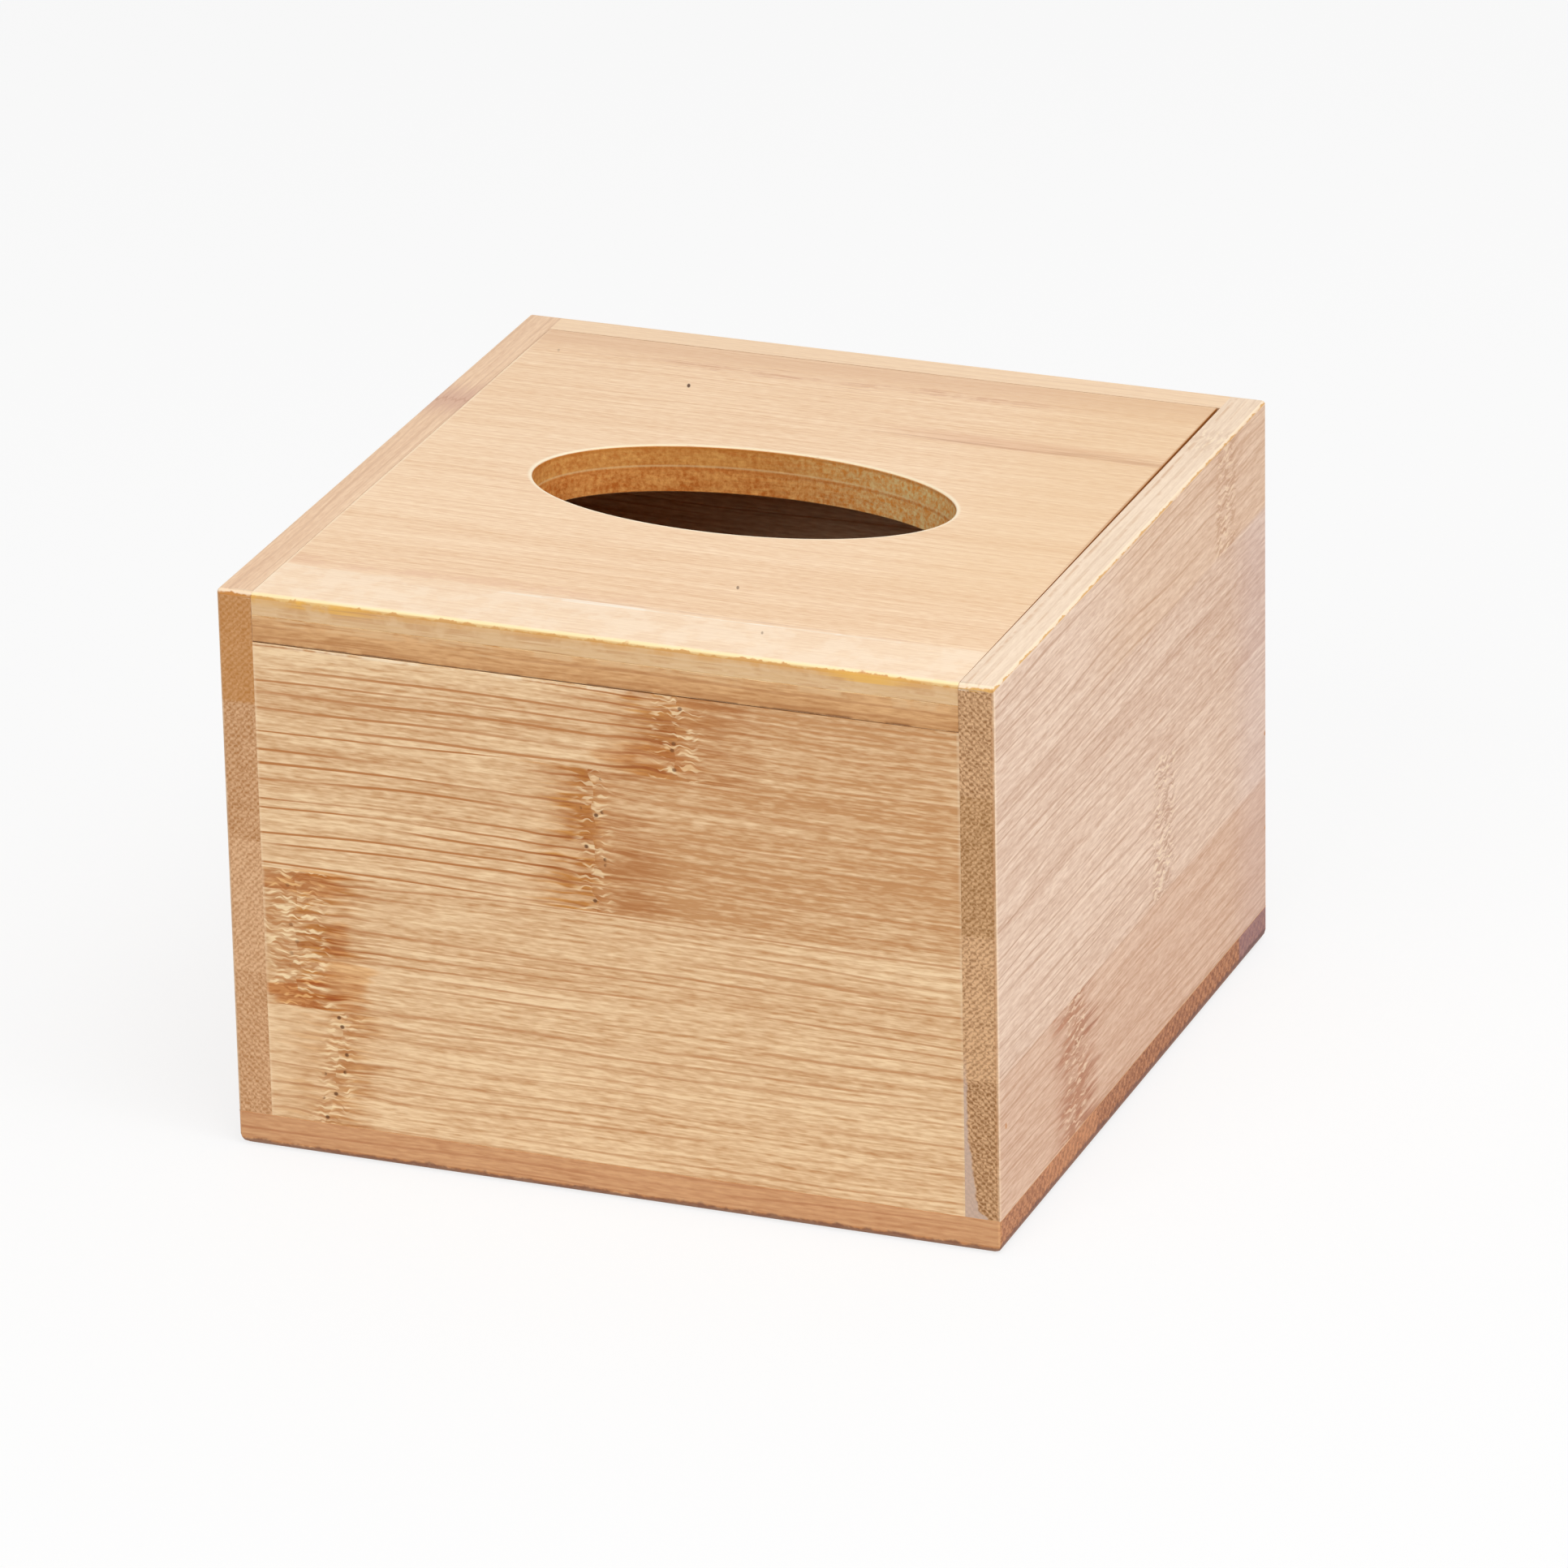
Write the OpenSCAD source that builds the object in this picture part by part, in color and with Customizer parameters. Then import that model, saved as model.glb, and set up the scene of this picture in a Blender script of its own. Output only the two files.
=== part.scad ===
// Square bamboo tissue box cover. Its lid has an oval slot and slides out over the front panel.
// The origin is the middle of the underside. The front faces -Y and +Z is up.

/* [Box] */
// Width of the box from side to side
box_w = 115; // [100:1:180]
// Depth of the box from front to back
box_d = 115; // [90:1:180]
// Height of the box with its lid in
box_h = 85; // [50:1:140]
// Radius of the outer upright edges and top edges
edge_r = 1; // [0.5:0.1:2]
// Radius of the outer edges of the underside
foot_r = 1.5; // [0.5:0.1:2.5]

/* [Boards] */
// Thickness of the left and right side boards
side_t = 5.2; // [4:0.1:9]
// Thickness of the front panel
front_t = 5.2; // [3:0.1:9]
// Thickness of the back panel
back_t = 5.2; // [3:0.1:9]
// Thickness of the base board
base_t = 5.2; // [3:0.1:9]

/* [Lid] */
// Thickness of the lid's upper ply
upper_ply_t = 3.3; // [2:0.1:6]
// Thickness of the lid's lower ply, which holds the guide rebates
lower_ply_t = 3.9; // [3.2:0.1:7]
// Running gap between the lid and the left side board
left_gap = 0.15; // [0.05:0.05:0.6]
// Running gap between the lid and the right side board
right_gap = 0.35; // [0.05:0.05:0.6]
// Gap between the closed lid and the back panel
back_gap = 0.15; // [0.05:0.05:0.6]
// Gap between the lid and the top of the front panel
front_gap = 0.3; // [0.1:0.05:0.6]

/* [Slot] */
// Length of the oval slot, from side to side
slot_l = 63.3; // [40:0.1:75]
// Width of the oval slot, from front to back
slot_w = 31.9; // [20:0.1:60]
// How far the slot's middle lies to the left of the box's middle
slot_offset = 1.3; // [0:0.1:5]

/* [Runners] */
// Height of the runner on each side board
runner_h = 2; // [1:0.1:2.5]
// How far a runner reaches out of its side board
runner_reach = 2; // [1:0.1:3]
// How deep a runner sits in its side board
runner_sink = 2.2; // [1:0.1:3]
// How far a runner's front end stays behind the front face
runner_setback = 10; // [6:0.5:25]
// Running gap above and below a runner
runner_gap = 0.15; // [0.05:0.05:0.3]
// Gap between a runner and the end and the depth of its rebate
rebate_gap = 0.4; // [0.1:0.05:0.8]

/* [Hidden] */

// Faces of a round edge, and of the oval slot
$fn = 64;
slot_sides = 96;
// How far a cutting or trimming block runs past the wood
overrun = 2 * foot_r;

// Planes that the boards share
inner_x = box_w / 2 - side_t;
inner_front_y = front_t - box_d / 2;
inner_back_y = box_d / 2 - back_t;
lid_z = box_h - upper_ply_t - lower_ply_t;
ply_z = box_h - upper_ply_t;

// The runner lies midway up the rebate, which the upper ply closes from above
rebate_h = runner_h + 2 * runner_gap;
rebate_z = ply_z - rebate_h;
runner_front_y = runner_setback - box_d / 2;
runner_l = inner_back_y - runner_front_y;

// Colours of the wood
side_tone = [0.78, 0.64, 0.49];
front_tone = [0.80, 0.62, 0.40];
base_tone = [0.66, 0.44, 0.24];
lid_tone = [0.90, 0.78, 0.62];
ply_tone = [0.74, 0.55, 0.34];
runner_tone = [0.72, 0.56, 0.38];

// A rectangle that stands on the X axis, with its own radius for the lower and the upper corners
module eased_outline(width, height, low_r, high_r) {
    translate([low_r - width / 2, 0]) square([width - 2 * low_r, height - high_r]);
    translate([high_r - width / 2, low_r]) square([width - 2 * high_r, height - low_r]);
    translate([-width / 2, low_r]) square([width, height - low_r - high_r]);
    for (side = [-1, 1]) {
        translate([side * (width / 2 - low_r), low_r]) circle(r = low_r);
        translate([side * (width / 2 - high_r), height - high_r]) circle(r = high_r);
    }
}

// The whole box as one block with its outer edges sanded round
module outer_form() {
    intersection() {
        translate([0, -box_d / 2, -overrun])
            linear_extrude(height = box_h + 2 * overrun)
                eased_outline(box_w, box_d, edge_r, edge_r);
        rotate([90, 0, 0])
            linear_extrude(height = box_d + 2 * overrun, center = true)
                eased_outline(box_w, box_h, foot_r, edge_r);
        rotate([90, 0, 90])
            linear_extrude(height = box_w + 2 * overrun, center = true)
                eased_outline(box_d, box_h, foot_r, edge_r);
    }
}

// A block between two opposite corners
module block(low, high) {
    translate(low) cube(high - low);
}

// The right side board, which runs from the front face to the back face
module side_board() {
    difference() {
        intersection() {
            outer_form();
            block([inner_x, -box_d / 2 - overrun, base_t],
                  [box_w / 2 + overrun, box_d / 2 + overrun, box_h + overrun]);
        }
        block([inner_x - overrun, runner_front_y, rebate_z + runner_gap],
              [inner_x + runner_sink, inner_back_y, ply_z - runner_gap]);
    }
}

// The right runner, which is sunk in its side board and reaches into the lid's rebate
module runner() {
    translate([inner_x - runner_reach, runner_front_y, rebate_z + runner_gap])
        cube([runner_reach + runner_sink, runner_l, runner_h]);
}

// Outline of the slot, as points along its edge
module slot_outline() {
    polygon([for (i = [0 : slot_sides - 1])
        let (turn = 360 * i / slot_sides)
            [slot_l / 2 * cos(turn) - slot_offset, slot_w / 2 * sin(turn)]]);
}

// A ply of the lid between two heights, with the slot through it
module ply(low_z, high_z) {
    difference() {
        intersection() {
            outer_form();
            block([left_gap - inner_x, -box_d / 2 - overrun, low_z],
                  [inner_x - right_gap, inner_back_y - back_gap, high_z]);
        }
        translate([0, 0, low_z - overrun])
            linear_extrude(height = high_z - low_z + 2 * overrun) slot_outline();
    }
}

// Rebate for the right runner: open at the side and at the back, and closed at the front
module rebate() {
    block([inner_x - runner_reach - rebate_gap, runner_front_y - rebate_gap, rebate_z],
          [inner_x + overrun, inner_back_y + overrun, ply_z + overrun]);
}

module base_board() {
    color(base_tone) intersection() {
        outer_form();
        block([-box_w / 2 - overrun, -box_d / 2 - overrun, -overrun],
              [box_w / 2 + overrun, box_d / 2 + overrun, base_t]);
    }
}

module front_panel() {
    color(front_tone) block([-inner_x, -box_d / 2, base_t],
                            [inner_x, inner_front_y, lid_z - front_gap]);
}

module back_panel() {
    color(side_tone) intersection() {
        outer_form();
        block([-inner_x, inner_back_y, base_t],
              [inner_x, box_d / 2 + overrun, box_h + overrun]);
    }
}

module left_side_board() {
    color(side_tone) mirror([1, 0, 0]) side_board();
}

module right_side_board() {
    color(side_tone) side_board();
}

module left_runner() {
    color(runner_tone) mirror([1, 0, 0]) runner();
}

module right_runner() {
    color(runner_tone) runner();
}

module lid_lower_ply() {
    color(ply_tone) difference() {
        ply(lid_z, ply_z);
        rebate();
        mirror([1, 0, 0]) rebate();
    }
}

module lid_upper_ply() {
    color(lid_tone) ply(ply_z, box_h + overrun);
}

base_board();
front_panel();
back_panel();
left_side_board();
right_side_board();
left_runner();
right_runner();
lid_lower_ply();
lid_upper_ply();
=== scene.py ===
"""Looks of the square bamboo tissue box: its boards, lid and runners, the light and the camera."""

import math
from collections import namedtuple

import bmesh
import bpy
from mathutils import Matrix, Vector


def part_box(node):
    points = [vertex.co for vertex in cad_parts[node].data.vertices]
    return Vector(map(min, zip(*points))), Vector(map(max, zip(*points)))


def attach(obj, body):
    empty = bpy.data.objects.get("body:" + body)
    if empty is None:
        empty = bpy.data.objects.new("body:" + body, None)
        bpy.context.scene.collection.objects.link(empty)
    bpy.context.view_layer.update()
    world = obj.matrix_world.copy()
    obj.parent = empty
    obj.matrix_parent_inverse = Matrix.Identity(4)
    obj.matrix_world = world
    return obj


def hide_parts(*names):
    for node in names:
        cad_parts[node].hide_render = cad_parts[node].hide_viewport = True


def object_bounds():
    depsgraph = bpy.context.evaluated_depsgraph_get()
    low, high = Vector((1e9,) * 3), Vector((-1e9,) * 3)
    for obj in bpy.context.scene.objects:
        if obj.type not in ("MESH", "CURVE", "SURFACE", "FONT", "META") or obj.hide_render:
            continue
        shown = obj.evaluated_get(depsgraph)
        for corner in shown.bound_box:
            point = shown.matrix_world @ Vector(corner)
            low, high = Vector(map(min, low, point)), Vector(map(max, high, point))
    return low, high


MM = 0.001
AXES = X, Y, Z = 0, 1, 2

# Faces of the box, each by its axis and the way along it that the face looks
FRONT, RIGHT, LEFT, TOP = (Y, -1), (X, 1), (X, -1), (Z, 1)

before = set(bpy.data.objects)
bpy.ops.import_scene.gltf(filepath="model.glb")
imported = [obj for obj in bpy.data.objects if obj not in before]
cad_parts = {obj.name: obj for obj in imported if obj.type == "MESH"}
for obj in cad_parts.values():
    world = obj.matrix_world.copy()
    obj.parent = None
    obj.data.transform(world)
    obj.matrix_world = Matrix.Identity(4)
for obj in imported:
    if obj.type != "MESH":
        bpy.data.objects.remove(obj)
cad_low, cad_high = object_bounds()
lid_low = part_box("lid_lower_ply")[0]
ply_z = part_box("lid_upper_ply")[0].z
inner_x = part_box("back_panel")[1].x

# Heights on the lid in millimetres: its top, its underside and the joint between its plies
LID_TOP = cad_high.z / MM
LID_FOOT = lid_low.z / MM
PLY_JOINT = ply_z / MM

# Radii of the edges, in metres
FRONT_TOP_EDGE = 0.9 * MM
OUTER_EDGE = 0.5 * MM
FOOT_EDGE = 1.5 * MM
SLOT_EDGE = 0.35 * MM
LOOSE_EDGE = 0.2 * MM
TINY_EDGE = 0.08 * MM
EDGE_SEGMENTS = 4
SHARP_ANGLE = math.radians(25)

# The slot in the lid, and the width of the painted highlight round it
SLOT_LENGTH = 63.3 * MM
SLOT_WIDTH = 31.9 * MM
SLOT_MIDDLE = Vector((-1.3 * MM, 0, 0))
SLOT_STEPS = 128
SLOT_RIM = 1.1 * MM

# The rebates in the lid's lower ply, which the runners sit in
REBATE_HEIGHT = 2.3 * MM
REBATE_DEPTH = 2.4 * MM
REBATE_GAP = 0.4 * MM

# How far the shown lid reaches past its CAD node: on the left, and on the right at front and back
LEFT_FIT = 0.10 * MM
RIGHT_FRONT_FIT = 0.30 * MM
RIGHT_BACK_FIT = -0.12 * MM

# How far the shown front panel reaches past its CAD node, and how far more its right end rises
PANEL_LIFT = 0.12 * MM
PANEL_TAPER = 0.14 * MM

# How far a cutter reaches past the piece, and how close a place counts as on a plane or the slot
OVERCUT = MM
PLANE_GAP = 0.02 * MM
SLOT_GAP = 0.01

# Camera, fitted to the seven corners that show in the picture
PICTURE = 1932
FOCAL_PIXELS = 12792.7
SENSOR = 36.0
CAMERA_PLACE = Vector((506.1, -1274.18, 621.67)) * MM
CAMERA_FORWARD = Vector((-0.3375, 0.8565, -0.3906))
CAMERA_DOWN = Vector((0.1239, -0.3709, -0.9204))
CAMERA_NEAR = 0.05
CAMERA_FAR = 60.0

# Soft lights: name, place and width in metres, and power in watts
SOFTBOXES = (
    ("key", (0.45, -0.35, 1.2), 0.7, 6.5),
    ("side", (1.2, -0.2, 0.45), 0.6, 2.2),
    ("front", (-0.15, -1.15, 0.85), 0.6, 3.4),
)

# Floor, half its width and its depth in metres, and world. Levels are shares of plain white.
WHITE = (1.0, 1.0, 1.0, 1.0)
FLOOR_MATT = (0.92, 0.92, 0.92, 1.0)
FLOOR_HALF = 12.0
FLOOR_DEPTH = 0.02
FLOOR_LEVEL = 0.78
WORLD_LEVEL = 0.52

# Fibre textures: length and width of their streaks in millimetres, detail and roughness
HAIR = (24.0, 0.52, 2.0, 0.60)
BANDS = (120.0, 4.20, 1.0, 0.50)
LINE_BREAKS = (50.0, 1.9, 1.0, 0.5)
STAIN_STREAKS = (9.0, 0.8, 1.0, 0.5)
FRAYS = (9.0, 1.3, 1.0, 0.5)

# Other textures: how fast they change along the fibres and across them, in each millimetre
DRIFT_PACE = (0.02, 0.07)
SWIRL_PACE = (0.13, 0.17)
GRIT_PACE = (0.5, 3.0)
BEND_PACE = (0.008, 0.16)
STAIN_PACE = (0.14, 0.20)

# Millimetres by which fibres drift, swirl round a knot and start afresh, and a knot's line wobbles
DRIFT = 1.5
SWIRL = 2.0
STRIP_SHIFT = 900.0
KNOT_SHIFT = 370.0
KNOT_WOBBLE = 5.0

# Half the width in which the tone of a strip changes, at a knot and where it has none
KNOT_CHANGE = 7.0
SLOW_CHANGE = 40.0

# Share of the light fibre colour, and what each texture adds to it or takes away
MIDDLE = 0.56
HAIR_WEIGHT = 1.6
BANDS_WEIGHT = 0.6
GRIT_WEIGHT = 1.3

# Growth lines: millimetres from one to the next, bend in radians, and where their crest shows
LINE_GAP = 1.7
LINE_BEND = 13.0
LINE_CREST = (0.70, 0.96)

# Stain: millimetres by which the fibre textures draw out its ends, and where, in shares of its
# reach, it ends and is full
STAIN_HAIR = 15.0
STAIN_BANDS = 10.0
STAIN_END = 1.2
STAIN_FULL = 0.3

# Knots: pace of their strokes and of what bends them, along and across, the bend in millimetres,
# and the pace of their pores
STROKE_PACE = (0.34, 1.7)
WARP_PACE = (0.55, 0.30)
STROKE_BEND = 1.8
PORE_PACE = (0.30, 0.34)

# Weave of the cut ends: pace of what bends its two ways, their bends in radians, and the weights
# of the stronger way and of the fainter one
WEAVE_PACE = 1.5
RISING_BEND = 13.0
FALLING_BEND = 11.0
STRONG_WAY = 0.14
FAINT_WAY = 0.05

# Surface: roughness, what the fibres add to it, sheen, and strength and depth of the relief
ROUGHNESS = 0.44
HAIR_ROUGHNESS = 0.24
SHEEN = 0.25
RELIEF = 0.55
RELIEF_DEPTH = 0.10 * MM


def tone(colour):
    """A colour written as 0 to 255 on the screen, as the linear colour that the shaders take."""

    def linear(value):
        share = value / 255
        return share / 12.92 if share <= 0.04045 else ((share + 0.055) / 1.055) ** 2.4

    return (*map(linear, colour), 1.0)


class Graph:
    """The nodes of one material or world. Each method adds nodes and returns what they put out."""

    # Sockets of the mix node: its two inputs and its output
    MIX_SOCKETS = {"VECTOR": (4, 5, 1), "RGBA": (6, 7, 2)}

    def __init__(self, owner):
        owner.use_nodes = True
        owner.node_tree.nodes.clear()
        self.tree = owner.node_tree

    def add(self, kind, values=(), **settings):
        node = self.tree.nodes.new(kind)
        for key, value in settings.items():
            setattr(node, key, value)
        for place, value in dict(values).items():
            if isinstance(value, bpy.types.NodeSocket):
                self.tree.links.new(value, node.inputs[place])
            else:
                node.inputs[place].default_value = value
        return node

    def math(self, operation, first, second=0.0):
        return self.add("ShaderNodeMath", {0: first, 1: second}, operation=operation).outputs[0]

    def plus(self, *parts):
        total = parts[0]
        for part in parts[1:]:
            total = self.math("ADD", total, part)
        return total

    def minus(self, first, second):
        return self.math("SUBTRACT", first, second)

    def times(self, *parts):
        total = parts[0]
        for part in parts[1:]:
            total = self.math("MULTIPLY", total, part)
        return total

    def most(self, first, second):
        return self.math("MAXIMUM", first, second)

    def above(self, value, limit):
        return self.math("GREATER_THAN", value, limit)

    def size(self, value):
        return self.math("ABSOLUTE", value)

    def about(self, value, weight):
        """What a texture, whose middle is 0.5, adds or takes away."""
        return self.times(self.minus(value, 0.5), weight)

    def between(self, share, first, second):
        return self.plus(first, self.times(share, self.minus(second, first)))

    def step(self, value, low, high):
        """0 below low and 1 above high, smooth between them. Low may lie above high."""
        values = {"Value": value, "From Min": low, "From Max": high}
        return self.add("ShaderNodeMapRange", values, interpolation_type="SMOOTHSTEP").outputs[0]

    def within(self, value, low, high, soft):
        """1 between low and high and 0 outside, with soft ends."""
        rise = self.step(value, low - soft, low + soft)
        return self.times(rise, self.step(value, high + soft, high - soft))

    def at(self, x, y, z=0.0):
        return self.add("ShaderNodeCombineXYZ", {0: x, 1: y, 2: z}).outputs[0]

    def split(self, vector):
        return self.add("ShaderNodeSeparateXYZ", {0: vector}).outputs

    def noise(self, *axes, detail=1.0, roughness=0.5):
        """Smooth noise over up to three axes, each a value with its pace or the value alone."""
        place = self.at(*[self.times(*axis) for axis in axes])
        values = {"Vector": place, "Scale": 1.0, "Detail": detail, "Roughness": roughness}
        return self.add("ShaderNodeTexNoise", values).outputs[0]

    def dots(self, x, y):
        """Distance to the nearest of many scattered points, about one to each unit square."""
        values = {"Vector": self.at(x, y), "Scale": 1.0, "Randomness": 1.0}
        return self.add("ShaderNodeTexVoronoi", values, voronoi_dimensions="2D").outputs[0]

    def chance(self, value):
        return self.add("ShaderNodeTexWhiteNoise", {"W": value}, noise_dimensions="1D").outputs[0]

    def mix(self, kind, share, first, second, **settings):
        first_place, second_place, result = self.MIX_SOCKETS[kind]
        values = {"Factor": share, first_place: first, second_place: second}
        return self.add("ShaderNodeMix", values, data_type=kind, **settings).outputs[result]

    def blend(self, share, first, second):
        return self.mix("RGBA", share, first, second)

    def tint(self, share, colour, filter_colour):
        """The colour as if seen through a filter, so that its own pattern stays."""
        return self.mix("RGBA", share, colour, filter_colour, blend_type="MULTIPLY")

    def unseen(self):
        """1 for rays that should meet a plain white background, 0 for those that light things."""
        rays = self.add("ShaderNodeLightPath").outputs
        indirect = self.most(rays["Is Glossy Ray"], rays["Is Transmission Ray"])
        return self.most(rays["Is Camera Ray"], indirect)


# One kind of board: the colours of its fibres, knots, cut ends and sanded edges, whose paleness is
# partly a painted highlight, then the contrast of its fibres and of its cut ends, and how fine the
# cut ends' weave is. Its stain is a tint.
Wood = namedtuple(
    "Wood",
    "dark light line stain pore end_dark end_light rim rim_dark contrast end_contrast end_turns",
    defaults=(6.0,))

# One strip of a board, which ends where the next one starts. Its start, its knot's place, its
# stain's reach and half its knot's width are in millimetres. Lean is the slant of its knot. Mark,
# pores and stain are strengths. Pairs hold a value before the knot and one after it.
NO_KNOT = -300.0
Strip = namedtuple(
    "Strip", "start knot lean reach wide mark pores stain tone lines end_tone weave",
    defaults=(NO_KNOT, 0.0, 9.0, 2.5, 0.0, 0.0, (0.0, 0.0), (0.0, 0.0), (0.4, 0.4), 0.0, 0.5))


class Bamboo(Graph):
    """Edge-glued bamboo. Fibres run along one axis, and strips lie side by side across another.

    Lengths are in millimetres. touches are functions that paint something more on the colour, and
    upright_rim is how much of the colour of the sanded edges, with their painted highlight, the
    upright edges take."""

    def __init__(self, name, grain, across, wood, strips, seed, touches=(), upright_rim=0.4):
        self.material = bpy.data.materials.new(name)
        super().__init__(self.material)
        self.wood = wood
        self.seed = seed
        self.find_place(grain, across)
        self.read_strips(strips)
        self.find_knot()
        self.lay_fibres()
        colour = self.fibre_colour()
        colour = self.add_stain(colour)
        colour = self.add_knots(colour)
        colour = self.add_cut_ends(colour)
        colour = self.add_rims_and_highlights(colour, upright_rim)
        for touch in touches:
            colour = touch(self, colour)
        self.make_surface(colour)

    def find_place(self, grain, across):
        """The point on the piece and the way its surface faces, along the axes of the box."""
        where = self.add("ShaderNodeTexCoord")
        values = {0: where.outputs["Object"], "Scale": 1 / MM}
        scaled = self.add("ShaderNodeVectorMath", values, operation="SCALE")
        self.point = self.split(scaled.outputs[0])
        self.facing = self.split(where.outputs["Normal"])
        self.along, self.side = self.point[grain], self.point[across]
        self.deep = self.point[sum(AXES) - grain - across]
        self.on_end = self.step(self.size(self.facing[grain]), 0.6, 0.85)

    def read_strips(self, strips):
        """What differs from strip to strip."""
        edges = [self.above(self.side, part.start) for part in strips[1:]]

        def pick(rows):
            result = self.at(*rows[0])
            for edge, row in zip(edges, rows[1:]):
                result = self.mix("VECTOR", edge, result, row)
            return self.split(result)

        self.luck = self.chance(self.plus(self.seed, *edges))
        self.knot, self.lean, self.reach = pick([(s.knot, s.lean, s.reach) for s in strips])
        self.stain_before, self.stain_after, self.mark = pick([(*s.stain, s.mark) for s in strips])
        self.tone_before, self.tone_after, self.end_tone = pick(
            [(*s.tone, s.end_tone) for s in strips])
        self.lines_before, self.lines_after, self.start = pick(
            [(*s.lines, s.start) for s in strips])
        self.wide, self.pored, self.weave = pick([(s.wide, s.pores, s.weave) for s in strips])

    def find_knot(self):
        """How far the point lies beyond its strip's knot, whose line wobbles."""
        wobble = self.noise((self.side, 0.24), (self.deep, 0.24), (self.seed,))
        slant = self.times(self.lean, self.minus(self.side, self.start))
        bent = self.plus(self.along, self.about(wobble, KNOT_WOBBLE))
        self.apart = self.minus(bent, self.plus(self.knot, slant))
        self.far = self.size(self.apart)
        marked = self.above(self.mark, 0.0)
        soft = self.between(marked, SLOW_CHANGE, KNOT_CHANGE)
        self.past = self.step(self.apart, self.times(soft, -1.0), soft)
        self.beyond = self.times(self.above(self.apart, 0.0), marked)

    def fibres(self, length, width, detail, roughness):
        """Noise that is drawn out along the fibres."""
        return self.noise((self.shifted, 1 / length), (self.wander, 1 / width),
                          (self.wander_deep, 1 / width), detail=detail, roughness=roughness)

    def lumps(self, along, pace, **settings):
        """Noise that changes at one pace along the fibres and at another across them."""
        return self.noise((along, pace[0]), (self.side, pace[1]), (self.deep, pace[1]), **settings)

    def cloud(self, pace, **settings):
        """Noise that changes at the same pace in every direction."""
        return self.noise(*[(part, pace) for part in self.point], **settings)

    def lay_fibres(self):
        """Fibres wander sideways, most near a knot, and start afresh past it and in each strip."""
        self.shifted = self.plus(self.along, self.times(self.luck, STRIP_SHIFT),
                                 self.times(self.beyond, KNOT_SHIFT))
        near_knot = self.times(self.step(self.far, 15.0, 1.0), self.mark)
        drift = self.about(self.lumps(self.shifted, DRIFT_PACE), DRIFT)
        swirl = self.times(self.about(self.lumps(self.along, SWIRL_PACE), SWIRL), near_knot)
        self.wander = self.plus(self.side, drift, swirl)
        self.wander_deep = self.plus(self.deep, drift)
        self.hair = self.fibres(*HAIR)
        self.bands = self.fibres(*BANDS)
        self.grit = self.lumps(self.along, GRIT_PACE)

    def fibre_colour(self):
        """Dark and light fibres, with thin growth lines that come and go."""
        wood = self.wood
        tone_here = self.between(self.past, self.tone_before, self.tone_after)
        lines_here = self.between(self.past, self.lines_before, self.lines_after)
        wave = self.growth_wave()
        share = self.plus(MIDDLE, tone_here, self.about(self.hair, HAIR_WEIGHT * wood.contrast),
                          self.about(self.bands, BANDS_WEIGHT * wood.contrast),
                          self.about(self.grit, GRIT_WEIGHT * wood.contrast))
        colour = self.blend(share, tone(wood.dark), tone(wood.light))
        shown = self.step(self.fibres(*LINE_BREAKS), 0.38, 0.54)
        self.thin = self.times(self.step(wave, *LINE_CREST), lines_here, shown)
        return self.blend(self.thin, colour, tone(wood.line))

    def growth_wave(self):
        """A wave across the fibres, whose crests are a few millimetres apart and bend a little."""
        bend = self.about(self.lumps(self.shifted, BEND_PACE), LINE_BEND)
        turns = self.times(self.plus(self.wander, self.wander_deep), 2 * math.pi / LINE_GAP)
        return self.math("SINE", self.plus(turns, bend))

    def add_stain(self, colour):
        """Brown stain on both sides of a knot, in lumps, with streaky ends."""
        streaky = self.plus(self.apart, self.about(self.hair, STAIN_HAIR),
                            self.about(self.bands, STAIN_BANDS))

        def one_side(way, stain, low, high):
            end = self.times(self.reach, STAIN_END * way)
            fading = self.step(streaky, end, self.times(self.reach, STAIN_FULL * way))
            return self.times(fading, stain, self.step(self.apart, low, high))

        before = one_side(-1, self.stain_before, 1.5, -1.0)
        after = one_side(1, self.stain_after, -1.0, 1.5)
        streaks = self.about(self.fibres(*STAIN_STREAKS), 2.2)
        patches = self.lumps(self.along, STAIN_PACE, detail=2.0, roughness=0.6)
        patches = self.step(self.plus(patches, streaks), 0.30, 0.62)
        amount = self.times(self.plus(before, after), self.between(patches, 0.3, 1.05))
        return self.tint(amount, colour, tone(self.wood.stain))

    def add_knots(self, colour):
        """The knot itself: short wavy strokes, pale and dark, and a few pores."""
        band = self.times(self.step(self.minus(self.far, self.wide), 1.2, -1.2), self.mark)
        warp = self.noise((self.along, WARP_PACE[0]), (self.side, WARP_PACE[1]), (self.seed,))
        bent = self.plus(self.side, self.deep, self.about(warp, STROKE_BEND))
        strokes = self.noise((self.along, STROKE_PACE[0]), (bent, STROKE_PACE[1]), (self.seed,))
        dark = self.times(self.step(strokes, 0.48, 0.38), band, 0.7)
        pale = self.times(self.step(strokes, 0.55, 0.64), band, 0.72)
        colour = self.blend(dark, colour, tone(self.wood.line))
        colour = self.blend(pale, colour, tone(self.wood.rim))
        spots = self.dots(self.times(self.along, PORE_PACE[0]),
                          self.times(self.side, PORE_PACE[1]))
        few = self.step(self.far, 1.9, 1.3)
        self.pores = self.times(self.step(spots, 0.13, 0.06), few, self.pored)
        return self.blend(self.pores, colour, tone(self.wood.pore))

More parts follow.
